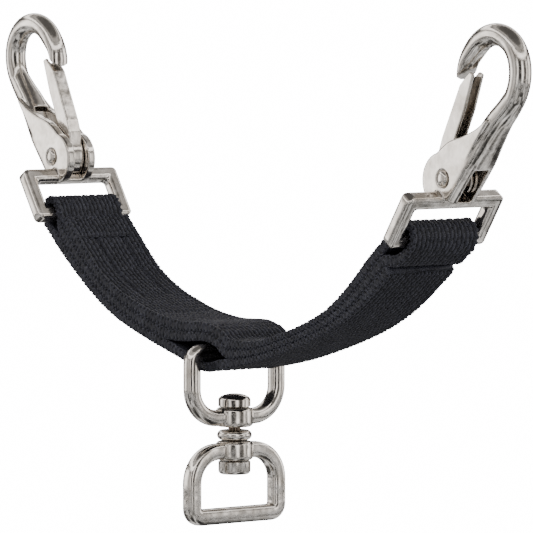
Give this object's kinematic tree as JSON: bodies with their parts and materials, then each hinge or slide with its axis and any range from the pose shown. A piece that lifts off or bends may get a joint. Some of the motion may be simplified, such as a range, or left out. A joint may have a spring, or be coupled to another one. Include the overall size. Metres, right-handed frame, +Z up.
{
  "type": "martingale coupling strap",
  "caption": "Black nylon coupling strap with a spring snap hook on each end and a double swivel with a square ring hanging from a pocket in its middle.",
  "frame": {"origin": "the centre of the swivel's top bar, in the pocket at the middle of the strap", "axes": "+X towards the right-hand snap hook, +Y across the strap, +Z up"},
  "size_m": [0.2253, 0.0326, 0.1357],
  "materials": {
    "nylon_webbing": "woven",
    "sewing_thread": "matte",
    "nickel_plate": "polished",
    "spring_steel": "satin"
  },
  "bodies": {
    "strap_middle": {"strap_centre": "nylon_webbing", "pocket_stitching_left": "sewing_thread", "pocket_stitching_right": "sewing_thread"},
    "left_arm": {"strap_left": "nylon_webbing", "left_end_stitching": "sewing_thread"},
    "right_arm": {"strap_right": "nylon_webbing", "right_end_stitching": "sewing_thread"},
    "left_hook": {"left_hook_body": "nickel_plate", "left_hook_rivet": "nickel_plate", "left_gate_spring": "spring_steel"},
    "left_gate": {"left_hook_gate": "nickel_plate"},
    "right_hook": {"right_hook_body": "nickel_plate", "right_hook_rivet": "nickel_plate", "right_gate_spring": "spring_steel"},
    "right_gate": {"right_hook_gate": "nickel_plate"},
    "swivel_upper": {"swivel_loop": "nickel_plate"},
    "swivel_spindle": {"swivel_pin": "nickel_plate", "swivel_collar": "nickel_plate"},
    "swivel_lower": {"swivel_ring": "nickel_plate"}
  },
  "joints": [
    {"name": "left_strap_flex", "type": "hinge", "parent": "strap_middle", "child": "left_arm", "pos_m": [-0.031, 0, 0.00785], "axis": [0, 1, 0], "range_deg": [-30, 25]},
    {"name": "right_strap_flex", "type": "hinge", "parent": "strap_middle", "child": "right_arm", "pos_m": [0.033, 0, 0.0041], "axis": [0, -1, 0], "range_deg": [-30, 25]},
    {"name": "left_eye_hinge", "type": "hinge", "parent": "left_arm", "child": "left_hook", "pos_m": [-0.0699, 0, 0.0339], "axis": [0, 1, 0], "range_deg": [-80, 50]},
    {"name": "right_eye_hinge", "type": "hinge", "parent": "right_arm", "child": "right_hook", "pos_m": [0.0843, 0, 0.0339], "axis": [0, -1, 0], "range_deg": [-80, 50]},
    {"name": "left_gate_pivot", "type": "hinge", "parent": "left_hook", "child": "left_gate", "pos_m": [-0.07809, 0, 0.04945], "axis": [0, -1, 0], "range_deg": [0, 20], "stiffness_Nm_per_rad": 0.2, "springref_deg": -17.19},
    {"name": "right_gate_pivot", "type": "hinge", "parent": "right_hook", "child": "right_gate", "pos_m": [0.09289, 0, 0.04923], "axis": [0, 1, 0], "range_deg": [0, 20], "stiffness_Nm_per_rad": 0.2, "springref_deg": -17.19},
    {"name": "swivel_swing", "type": "hinge", "parent": "strap_middle", "child": "swivel_upper", "pos_m": [0, 0, 0], "axis": [0, 1, 0], "range_deg": [-48, 48]},
    {"name": "swivel_pin_spin", "type": "hinge", "parent": "swivel_upper", "child": "swivel_spindle", "pos_m": [0, 0, -0.018], "axis": [0, 0, 1], "continuous": true},
    {"name": "swivel_ring_spin", "type": "hinge", "parent": "swivel_spindle", "child": "swivel_lower", "pos_m": [0, 0, -0.027], "axis": [0, 0, 1], "continuous": true}
  ]
}
